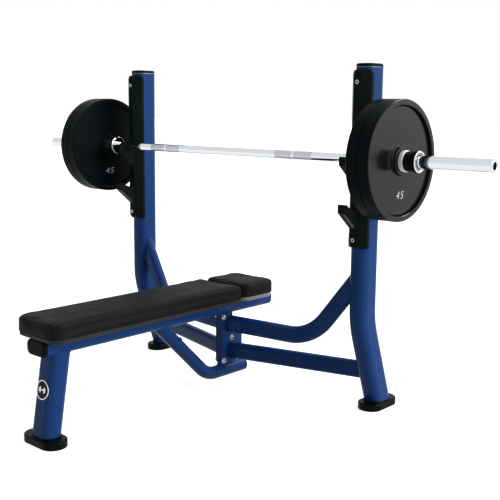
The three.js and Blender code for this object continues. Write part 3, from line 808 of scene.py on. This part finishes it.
def guard(side, sign):
    rings = [guard_ring(sign, GUARD_SEAM + 0.3, inset=0.8), guard_ring(sign, GUARD_SEAM + 1.1)]
    for step in range(DOME_STEPS + 1):
        turn = QUARTER * step / DOME_STEPS
        share = 1 - math.cos(turn)
        rings.append(guard_ring(sign, GUARD_TOP - DOME_HIGH * (1 - math.sin(turn)),
                                inset=DOME_DEEP * share, rear=GUARD_REAR - DOME_REAR * share))
    piece(f"guard_shell_{side}", loft(rings), PLASTIC, node=f"guard_{side}")


def guard_end(side, sign):
    """The end piece, its toe reaching further forward than its top."""
    heights = ((GUARD_END, 13, 1.0, 11), (GUARD_END + 1, 12, 0, 12), (GUARD_END + 6, 8, 0, 14),
               (GUARD_END + 12, 4, 0, 16), (GUARD_END + 18, 0.6, 0, 16),
               (GUARD_END + 24, -1, 0, 16), (GUARD_SEAM - 1, -1, 0, 16),
               (GUARD_SEAM - 0.1, -1, 0.9, 16))
    rings = [guard_ring(sign, z, GUARD_FRONT + toe, 1, inset, nose)
             for z, toe, inset, nose in heights]
    piece(f"guard_end_shell_{side}", loft(rings), PLASTIC, node=f"guard_end_{side}")


def screw(name, node, x, y, z):
    """A ring-edged socket screw, its head facing the foot end."""
    piece(name, turned(SCREW, (x, y, z), Y, 48), ZINC, node=node)
    piece(f"{name}_socket", prism(shifted(hexagon(6.3), x, z), y - 0.9, y + 0.2, (X, Z, Y)),
          PLASTIC)


def hook_rail(name, x, low, high, face, half=14.6):
    """The round-ended strip down the guard's nose that the hooks stand on."""
    rings = []
    for depth, inset in ((3, 0), (0.9, 0), (0.3, 0.25), (0, 0.9)):
        outline = []
        for centre, first in ((high - half, 0), (low + half, math.pi)):
            for step in range(17):
                turn = first + math.pi * step / 16
                outline.append((x + (half - inset) * math.cos(turn), face + depth,
                                centre + (half - inset) * math.sin(turn)))
        rings.append(outline)
    piece(name, loft(rings), PLASTIC)


for side, sign in SIDES:
    guard(side, sign)
    guard_end(side, sign)
    hook_rail(f"hook_rail_{side}", sign * UPRIGHT_X, 614, 1196, NOSE_FACE)
    for level, z in (("lower", 638), ("upper", 1172)):
        screw(f"guard_screw_{level}_{side}", f"guard_bolt_{level}_{side}", sign * UPRIGHT_X,
              NOSE_FACE, z)

# ---- hooks ----

HOOK_FRONT, HOOK_REAR, HOOK_TOP = -54, 21.8, 6
HOOK_TRAY, HOOK_LIP, HOOK_TOE = -13.5, -37, -86
NOTCH = 15.8
STRIP_TOP, STRIP_FOOT = (-50, 25.4), (10, 76)


def hook_outline():
    """A hook's side, with the bar's line at the centre of its round notch."""
    start = math.asin(HOOK_TRAY / NOTCH)
    low = start - QUARTER
    points = filleted([
        (HOOK_REAR, HOOK_TRAY, 0), (HOOK_REAR, HOOK_TOE, 2), (HOOK_FRONT, -22, 3),
        (HOOK_FRONT, HOOK_TOP, 4), (HOOK_LIP - 1, HOOK_TOP, 7), (HOOK_LIP + 10, -4, 6),
        (NOTCH * math.cos(low), NOTCH * math.sin(low), 0)], 5)
    for step in range(1, 12):
        turn = low + QUARTER * step / 12
        points.append((NOTCH * math.cos(turn), NOTCH * math.sin(turn)))
    points.append((NOTCH * math.cos(start), NOTCH * math.sin(start)))
    return points


def hook(level, side):
    low, high = node_box(f"hook_{level}_{side}")
    centre_z = high.z - HOOK_TOP
    piece(f"hook_{level}_fine_{side}", prism(shifted(hook_outline(), 0, centre_z), low.x, high.x,
                                             (Y, Z, X)), PLASTIC,
          node=f"hook_{level}_{side}", bevel=1.6, bevel_steps=3)
    return centre_z, high.x


def hook_highlight_strip(side, centre_z, outer_x):
    """A steel strip down the slope of a lower hook, its lighter tone also a painted highlight along
    the hook's edge; its ends are given by how far below the bar.
    """
    start, end = (Vector((0, y, centre_z - below)) for y, below in (STRIP_TOP, STRIP_FOOT))
    heading = (end - start).normalized()
    out = Vector((0, heading.z, -heading.y))
    stations = [(p + X * (outer_x - 3.6) + out * 0.1, heading) for p in (start, end)]
    piece(f"hook_lower_strip_{side}", swept(stations, X, rounded(4.2, 1.6, 0.6, 3)), PAINTED_HIGHLIGHT_STRIP)


for side, sign in SIDES:
    hook("upper", side)
    hook_highlight_strip(side, *hook("lower", side))

# ---- barbell ----

def on_bar(name, profile, sign, finish, body, node=None, segments=96, sharp=34):
    """A profile of (radius, distance from the middle) turned about the bar's line on one side."""
    points = [(radius, sign * along) for radius, along in profile]
    return piece(name, turned(points, (0, 0, BAR_Z), X, segments), finish, body=body, node=node,
                 sharp=sharp)


SHAFT_R, SHAFT_END = 15.4, 1084
shaft_rings = [(0.01, -SHAFT_END), (SHAFT_R - 1, -SHAFT_END), (SHAFT_R, -SHAFT_END + 1)]
shaft_rings += [(SHAFT_R, x) for x in range(-1000, 1001, 100)]
shaft_rings += [(SHAFT_R, SHAFT_END - 1), (SHAFT_R - 1, SHAFT_END), (0.01, SHAFT_END)]
on_bar("bar_shaft_fine", shaft_rings, 1, CHROME, "barbell", "bar_shaft")

KNURLS = [(250, 328), (338, 418)]
SLEEVE_R, SLEEVE_BORE = 21.2, 15.7
SLEEVE = [(SLEEVE_BORE, 640, 0.3), (33, 640, 0.8), (33, 641.5, 0.6), (36.5, 641.5, 1.6),
          (36.5, 653.5, 1.6), (27, 655, 2), (SLEEVE_R, 656, 1.5), (SLEEVE_R, 1100, 1.8),
          (12.5, 1100, 1.2), (12.5, 1095, 0.6), (SLEEVE_BORE, 1094, 0.6)]
END_PLUG = [(3, 1086, 0.2), (15.4, 1086, 0.2), (15.4, 1091, 0.8), (14, 1091, 0.4),
            (13, 1089.5, 0.4), (6, 1089.5, 0.4), (5.2, 1091, 0.4), (3, 1091, 0.3)]
for side, sign in SIDES:
    for index, (inner, outer) in enumerate(KNURLS):
        low, high = SHAFT_R - 0.3, SHAFT_R + 0.15
        band = [(low, inner), (high, inner + 0.6), (high, outer - 0.6), (low, outer)]
        on_bar(f"knurl_{index}_{side}", band, sign, KNURL, "barbell")
    on_bar(f"sleeve_fine_{side}", filleted(SLEEVE, 4), sign, CHROME, f"{side}_sleeve",
           f"sleeve_{side}", 112)
    on_bar(f"sleeve_end_plug_{side}", filleted(END_PLUG, 4), sign, PLASTIC, f"{side}_sleeve",
           f"sleeve_plug_{side}", 64)

# ---- plates ----

PLATE_R, PLATE_THICK, HUB_R, HUB_BORE = 197.4, 43.7, 36, 21.6
RIM, RECESS, BOSS = 18, 10.5, 47
RIM_IN = PLATE_R - RIM
GROOVE = (RIM_IN - 5.4, RIM_IN - 0.8)
PLATE_STARTS = {"inner": 695, "outer": 739}
NUMBER_LOW = 112


def plate_side(start, depth_sign):
    """One face of a plate from the hub to the rim's edge, as (radius, along, fillet)."""
    corners = [(HUB_R + 0.2, 1.2, 0.4), (BOSS - 1.5, 1.2, 2.5), (BOSS + 1.5, RECESS, 2),
               (RIM_IN - 5.5, RECESS, 1), (RIM_IN - 4.6, RECESS + 1.6, 0.8),
               (RIM_IN - 2.4, RECESS + 1.6, 0.8), (RIM_IN - 0.6, 1.8, 0.3), (RIM_IN + 1.2, 0, 0.3),
               (PLATE_R - 3, 0, 0.8), (PLATE_R, 2.6, 2.0)]
    return [(radius, start + depth_sign * depth, fillet) for radius, depth, fillet in corners]


def number(name, text, x, facing, body):
    """Raised figures below the hub, read from the side they face."""
    curve = bpy.data.curves.new(name, "FONT")
    curve.body, curve.size = text, 35 * MM
    curve.align_x, curve.align_y = "CENTER", "CENTER"
    curve.extrude, curve.bevel_depth, curve.bevel_resolution = 0.5 * MM, 0.2 * MM, 2
    curve.space_character, curve.shear, curve.offset = 1.16, 0.22, -0.45 * MM
    source = linked(name, curve)
    bpy.context.view_layer.update()
    depsgraph = bpy.context.evaluated_depsgraph_get()
    mesh = bpy.data.meshes.new_from_object(source.evaluated_get(depsgraph))
    bpy.data.objects.remove(source)
    turn = Matrix.Rotation(QUARTER * facing, 4, "Z") @ Matrix.Rotation(QUARTER, 4, "X")
    wider = Matrix.Diagonal((1.2, 1, 1, 1))
    mesh.transform(Matrix.Translation(place((x, 0, BAR_Z - NUMBER_LOW))) @ turn @ wider)
    mesh.materials.clear()
    mesh.materials.append(WHITE_INK)
    shape = linked(name, mesh)
    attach(shape, body)


def two_tone(shape, sign, x_from, radius):
    """Gives a plate's outward face the smoother, greyer coat."""
    shape.data.materials.append(PLATE_FACE)
    for face in shape.data.polygons:
        middle = face.center
        away = math.hypot(middle.y - BAR_Y, middle.z - BAR_Z * MM) / MM
        outward = sign * face.normal.x > 0.6 and sign * middle.x / MM > x_from
        if outward and away < radius and not GROOVE[0] < away < GROOVE[1]:
            face.material_index = 1


def plate(where, start, side, sign):
    body, end = f"{side}_{where}_plate", start + PLATE_THICK
    profile = filleted(plate_side(start, 1) + plate_side(end, -1)[::-1], 4)
    shape = on_bar(f"plate_{where}_fine_{side}", profile, sign, PLATE_EDGE, body,
                   f"plate_{where}_{side}", 160, 50)
    if where == "outer":
        two_tone(shape, sign, start + PLATE_THICK / 2, PLATE_R - 1)
    hub = [(HUB_BORE, start + 0.2, 1.2), (HUB_R, start + 0.2, 0.8), (HUB_R, end - 0.2, 0.8),
           (HUB_BORE, end - 0.2, 1.2)]
    on_bar(f"plate_hub_{where}_fine_{side}", filleted(hub, 4), sign, HUB, body,
           f"plate_hub_{where}_{side}", 80)
    if where == "outer":
        x, facing = end - RECESS + 0.3, sign
    else:
        x, facing = start + RECESS - 0.3, -sign
    number(f"number_{where}_{side}", "45", sign * x, facing, body)


for side, sign in SIDES:
    for where, start in PLATE_STARTS.items():
        plate(where, start, side, sign)

# ---- collars ----

COLLAR_R, GRIP_R, RIBS = 35, 31, 9


def along_bar(node):
    """The stretch of the bar that a node covers, by distance from the middle."""
    low, high = node_box(node)
    return sorted((abs(low.x), abs(high.x)))


def ribbed(start, end):
    """A sleeve profile with shallow ribs round it."""
    corners = [(HUB_BORE, start, 0.4), (GRIP_R, start, 0.8)]
    pitch = (end - start - 2.4) / RIBS
    for rib in range(RIBS):
        at = start + 1.2 + (end - start - 2.4) * rib / RIBS
        corners += [(31.2, at + pitch * 0.1, 0.3), (32, at + pitch * 0.25, 0.4),
                    (32, at + pitch * 0.75, 0.4), (31.2, at + pitch * 0.9, 0.3)]
    return corners + [(GRIP_R, end, 0.8), (HUB_BORE, end, 0.4)]


def collar(side, sign):
    """A ring, a ribbed grip and an end of four parts: lip, ring, seal and snap ring."""
    def part(name, corners, finish, node, steps=4):
        on_bar(f"collar_{name}_{side}", filleted(corners, steps), sign, finish, f"{side}_collar",
               f"collar_{node}_{side}")

    at = along_bar(f"collar_inner_ring_{side}")[0]
    part("ring_inner", [(HUB_BORE, at, 0.6), (33.6, at, 1.4), (COLLAR_R, at + 2, 1),
                        (COLLAR_R, at + 13.5, 1), (33.6, at + 15.5, 0.8),
                        (HUB_BORE, at + 15.5, 0.6)], SATIN_PAINTED_REFLECTION, "inner_ring")
    part("grip_fine", ribbed(*along_bar(f"collar_grip_{side}")), GRIP, "grip", 2)
    at, end = along_bar(f"collar_outer_ring_{side}")
    part("lip", [(HUB_BORE, at, 0.4), (33.4, at, 0.8), (34.8, at + 1.4, 0.8),
                 (34.8, end - 3.2, 0.6), (34.4, end - 2.8, 0.2), (HUB_BORE, end - 2.8, 0.2)],
         GRIP, "outer_ring")
    at = end - 2.7
    part("ring_outer", [(28.4, at, 0.2), (34.2, at, 0.3), (COLLAR_R, at + 0.7, 0.4),
                        (COLLAR_R, end - 0.9, 0.4), (34.2, end, 0.5), (29.2, end, 0.4),
                        (28.4, end - 0.8, 0.3)], CHROME, "outer_ring")
    part("seal", [(HUB_BORE, at, 0.2), (28.3, at, 0.2), (28.3, end - 1.6, 0.3),
                  (HUB_BORE, end - 1.6, 0.4)], GRIP, "outer_ring")
    part("snap_ring", [(24.2, end - 1.9, 0.2), (25.8, end - 1.9, 0.2), (25.8, end - 0.7, 0.4),
                       (24.2, end - 0.7, 0.4)], CHROME, "outer_ring")


for side, sign in SIDES:
    collar(side, sign)

# ---- pads ----

# Each pad's corner radius in plan at its foot end and its head end.
PAD_CORNERS = {"main": (46, 15), "head": (46, 46)}


def pad_outline(pad, inset, steps=12):
    """A pad's plan with its own corners, inset all round."""
    low, high = node_box(f"{pad}_pad")
    near, far = (max(radius - inset, 1.0) for radius in PAD_CORNERS[pad])
    outline = cornered(high.x - inset, (high.y - low.y) / 2 - inset, (far, far, near, near), steps)
    return shifted(outline, 0, (low.y + high.y) / 2)


def pad_body(pad, profile):
    """A closed body from (inset, height) steps up a pad."""
    return loft([[(x, y, z) for x, y in pad_outline(pad, inset)] for inset, z in profile])


def board(pad, finish, inset, edge):
    low, high = node_box(f"{pad}_pad_board")
    piece(f"{pad}_board", pad_body(pad, edge_steps(low.z, high.z + 0.2, edge, 1, inset)), finish,
          node=f"{pad}_pad_board")


def inflate(shape, held_below, last_frame=20):
    """Runs the cover as cloth for some frames and keeps its last shape."""
    group = shape.vertex_groups.new(name="held")
    group.add([v.index for v in shape.data.vertices if v.co.z < held_below], 1.0, "REPLACE")
    cloth = shape.modifiers.new("cloth", "CLOTH")
    settings = cloth.settings
    settings.quality, settings.mass = 6, 0.3
    settings.tension_stiffness = settings.compression_stiffness = 40
    settings.shear_stiffness, settings.bending_stiffness = 20, 4
    settings.use_pressure, settings.uniform_pressure_force = True, 4
    settings.vertex_group_mass = group.name
    settings.effector_weights.gravity = 0
    cloth.point_cache.frame_start, cloth.point_cache.frame_end = 1, last_frame
    for frame_number in range(1, last_frame + 1):
        bpy.context.scene.frame_set(frame_number)
    apply_modifier(shape, cloth)
    bpy.context.scene.frame_set(1)


def crown(mesh, rest, low, high, swell=2.6, lift=1.6, pull=1.4):
    """Limits the swell, crowns the top and draws the sides in between the corners."""
    middle, half_y = (low.y + high.y) / 2, (high.y - low.y) / 2
    for vertex, before in zip(mesh.vertices, rest):
        step = vertex.co - before
        if step.length > swell * MM:
            vertex.co = before + step.normalized() * swell * MM
        u = min(1, abs(vertex.co.x / MM) / high.x)
        v = min(1, abs((vertex.co.y - BAR_Y) / MM - middle) / half_y)
        rise = max(0, (vertex.co.z / MM - low.z) / (high.z - low.z))
        vertex.co.z += lift * MM * rise ** 2 * (1 - u * u) * (1 - v ** 6)
        vertex.co.x *= 1 - pull * u * (1 - v ** 4) / high.x
        drawn = pull * MM * v ** 8 * (1 - u ** 4)
        vertex.co.y -= math.copysign(drawn, vertex.co.y - BAR_Y - middle * MM)
        vertex.co.z = max(vertex.co.z, low.z * MM)


def cushion(pad, shrink=1.6, voxel=4.0):
    """A foam pad under a stretched cover. The pressure rounds it and its base stays flat.

    It gives back a tree of the cover's faces, for the seams to lie on.
    """
    low, high = node_box(f"{pad}_pad")
    start = pad_body(pad, edge_steps(low.z, high.z - shrink, 3, 9, shrink))
    shape = piece(f"{pad}_cushion", start, VINYL, node=f"{pad}_pad", hard=False)
    remesh = shape.modifiers.new("remesh", "REMESH")
    remesh.mode, remesh.voxel_size = "VOXEL", voxel * MM
    apply_modifier(shape, remesh)
    mesh = shape.data
    rest = [v.co.copy() for v in mesh.vertices]
    inflate(shape, (low.z + 4) * MM)
    crown(mesh, rest, low, high)
    for face in mesh.polygons:
        face.use_smooth = True
    mesh.materials.clear()
    mesh.materials.append(VINYL)
    smooth = shape.modifiers.new("smooth", "SMOOTH")
    smooth.factor, smooth.iterations = 0.5, 3
    apply_modifier(shape, smooth)
    tree = BVHTree.FromPolygons([v.co.copy() for v in mesh.vertices],
                                [tuple(f.vertices) for f in mesh.polygons])
    divide = shape.modifiers.new("subdivide", "SUBSURF")
    divide.levels = divide.render_levels = 1
    return tree


def on_cover(tree, pad, z, spacing=4):
    """Points and outward directions round a cushion's side at one height."""
    ring, inner = pad_outline(pad, -12, 24), pad_outline(pad, 14, 24)
    shift = Vector((0, BAR_Y / MM, 0))
    found = []
    for index, (x, y) in enumerate(ring):
        ahead = (index + 1) % len(ring)
        (nx, ny), (ix, iy), (jx, jy) = ring[ahead], inner[index], inner[ahead]
        count = max(1, round(math.hypot(nx - x, ny - y) / spacing))
        for step in range(count):
            t = step / count
            start = place((x + (nx - x) * t, y + (ny - y) * t, z))
            aim = place((ix + (jx - ix) * t, iy + (jy - iy) * t, z)) - start
            hit, normal, _, _ = tree.ray_cast(start, aim.normalized())
            if hit:
                found.append((hit / MM - shift, normal.normalized()))
    return found


def seam(name, line, radius, sink):
    """A cord let into the cover all the way round."""
    rings = []
    for index, (point, normal) in enumerate(line):
        tangent = (line[(index + 1) % len(line)][0] - line[index - 1][0]).normalized()
        up = tangent.cross(normal).normalized()
        middle = point - normal * sink
        rings.append([middle + normal * a + up * b for a, b in circle(radius, 8)])
    piece(name, loft(rings, looped=True), VINYL, sharp=70)


def stitches(name, line, long=3.2, gap=2.4):
    """A row of thread bars lying in the cover beside a seam."""
    verts, faces = [], []
    walked, wait = 0.0, 0.0
    for index, (point, normal) in enumerate(line):
        step = line[(index + 1) % len(line)][0] - point
        walked += step.length
        if walked < wait:
            continue
        wait = walked + long + gap
        tangent = step.normalized()
        up = tangent.cross(normal)
        ends = []
        for along, size in ((0, 0.25), (0.15, 0.45), (0.5, 0.55), (0.85, 0.45), (1, 0.25)):
            rise = 0.25 - 0.36 * (2 * along - 1) ** 2
            middle = point + tangent * (long * along) + normal * rise
            ends.append([middle + normal * a * size + up * b * size for a, b in circle(1, 6)])
        some, sides = loft(ends)
        base = len(verts)
        verts += some
        faces += [tuple(i + base for i in face) for face in sides]
    piece(name, (verts, faces), THREAD, sharp=80)


board("main", MAIN_BOARD_PAINTED_SHADE, 4.5, 8)
board("head", HEAD_BOARD_PAINTED_LIGHT, 8, 3)
for pad in PAD_CORNERS:
    cover = cushion(pad)
    pad_low, pad_high = node_box(f"{pad}_pad")
    seam(f"{pad}_piping", on_cover(cover, pad, pad_low.z + 3.2), 1.5, 0.4)
    seam(f"{pad}_top_seam", on_cover(cover, pad, pad_high.z - 14), 0.8, 0.45)
    stitches(f"{pad}_stitches", on_cover(cover, pad, pad_high.z - 17.5))

# ---- floor, light and camera ----

COOL_WHITE = (0.97, 0.985, 1, 1)
SHADE_WIDE, SHADE_LONG, SHADE_MIDDLE = 0.8, 0.9, BAR_Y - 0.3


def floor_shade(made):
    """The strength of the floor's soft light, least under the middle of the bench."""
    axes = made.node("ShaderNodeSeparateXYZ", {0: made.where}).outputs
    across = made.math("DIVIDE", axes[0], SHADE_WIDE)
    along = made.math("DIVIDE", made.math("SUBTRACT", axes[1], SHADE_MIDDLE), SHADE_LONG)
    squares = [made.math("MULTIPLY", part, part) for part in (across, along)]
    away = made.math("SQRT", made.math("ADD", *squares))
    return made.spread(away, 0.12, 0.84, 0.55, 1.4)


def floor(size=60, depth=-0.0006):
    """A pale floor, white to look at, that sends a soft light back up."""
    made = Finish("studio_floor", (0.9, 0.9, 0.9), 0.8, Specular_IOR_Level=0.05,
                  Emission_Color=(1, 1, 1, 1), Emission_Strength=0.72)
    made.bump(made.noise(40, 2), 0.05, 0.2)
    path = made.node("ShaderNodeLightPath").outputs
    strength = made.spread(path["Is Glossy Ray"], floor_shade(made), 1.0)
    bounce = made.node("ShaderNodeEmission", {"Color": COOL_WHITE, "Strength": strength})
    mix = made.node("ShaderNodeMixShader", {0: path["Is Camera Ray"], 1: bounce.outputs[0],
                                            2: made.shader.outputs[0]})
    output = made.tree.nodes["Material Output"]
    made.tree.links.new(mix.outputs[0], output.inputs["Surface"])
    made.material.cycles.emission_sampling = "NONE"
    mesh = bpy.data.meshes.new("floor")
    corners = ((-size, -size), (size, -size), (size, size), (-size, size))
    mesh.from_pydata([(x, y, depth) for x, y in corners], [], [(0, 1, 2, 3)])
    mesh.materials.append(made.material)
    linked("floor", mesh)


def sun(name, direction, spread, power, shows=True):
    """A soft distant light shining from a direction, which may show in polished metal."""
    data = bpy.data.lights.new(name, "SUN")
    data.angle, data.energy = math.radians(spread), power
    lamp = linked(name, data)
    lamp.visible_glossy = shows
    lamp.rotation_euler = (-Vector(direction)).to_track_quat("-Z", "Y").to_euler()


def studio():
    """A white room that shows in polished metal but lights the object only a little by itself."""
    world = bpy.data.worlds.new("studio")
    bpy.context.scene.world = world
    world.use_nodes = True
    tree = world.node_tree
    tree.nodes.clear()
    path = add_node(tree, "ShaderNodeLightPath").outputs
    last = add_node(tree, "ShaderNodeBackground", {0: (1, 1, 1, 1), 1: 1.0}).outputs[0]
    for ray, strength in (("Is Glossy Ray", 0.80), ("Is Diffuse Ray", 0.16)):
        light = add_node(tree, "ShaderNodeBackground", {0: COOL_WHITE, 1: strength}).outputs[0]
        last = add_node(tree, "ShaderNodeMixShader", {0: path[ray], 1: last, 2: light}).outputs[0]
    add_node(tree, "ShaderNodeOutputWorld", {0: last})
    sun("key", (0.86, 0.25, 0.36), 40, 2.4)
    sun("top", (0.05, 0.1, 1), 70, 0.9, shows=False)
    sun("rim", (0.14, 0.66, 0.71), 25, 1.0)
    sun("side", (0.75, 0.64, 0.02), 50, 0.35)
    bpy.context.scene.view_settings.view_transform = "Standard"


EYE = (2282.57, -2394.32, 1084.5)
EYE_TURNS = ((42.0314, "Z"), (80.6373, "X"), (0.5333, "Z"))


def camera():
    """Eye level just above the bar, 42 degrees round from the foot end."""
    data = bpy.data.cameras.new("camera")
    data.sensor_width, data.lens = 36, 62.22
    data.clip_start, data.clip_end = 0.05, 200
    aim = Matrix.Translation(place(EYE))
    for degrees, axis in EYE_TURNS:
        aim = aim @ Matrix.Rotation(math.radians(degrees), 4, axis)
    eye = linked("camera", data)
    eye.matrix_world = aim
    bpy.context.scene.camera = eye


floor()
studio()
camera()
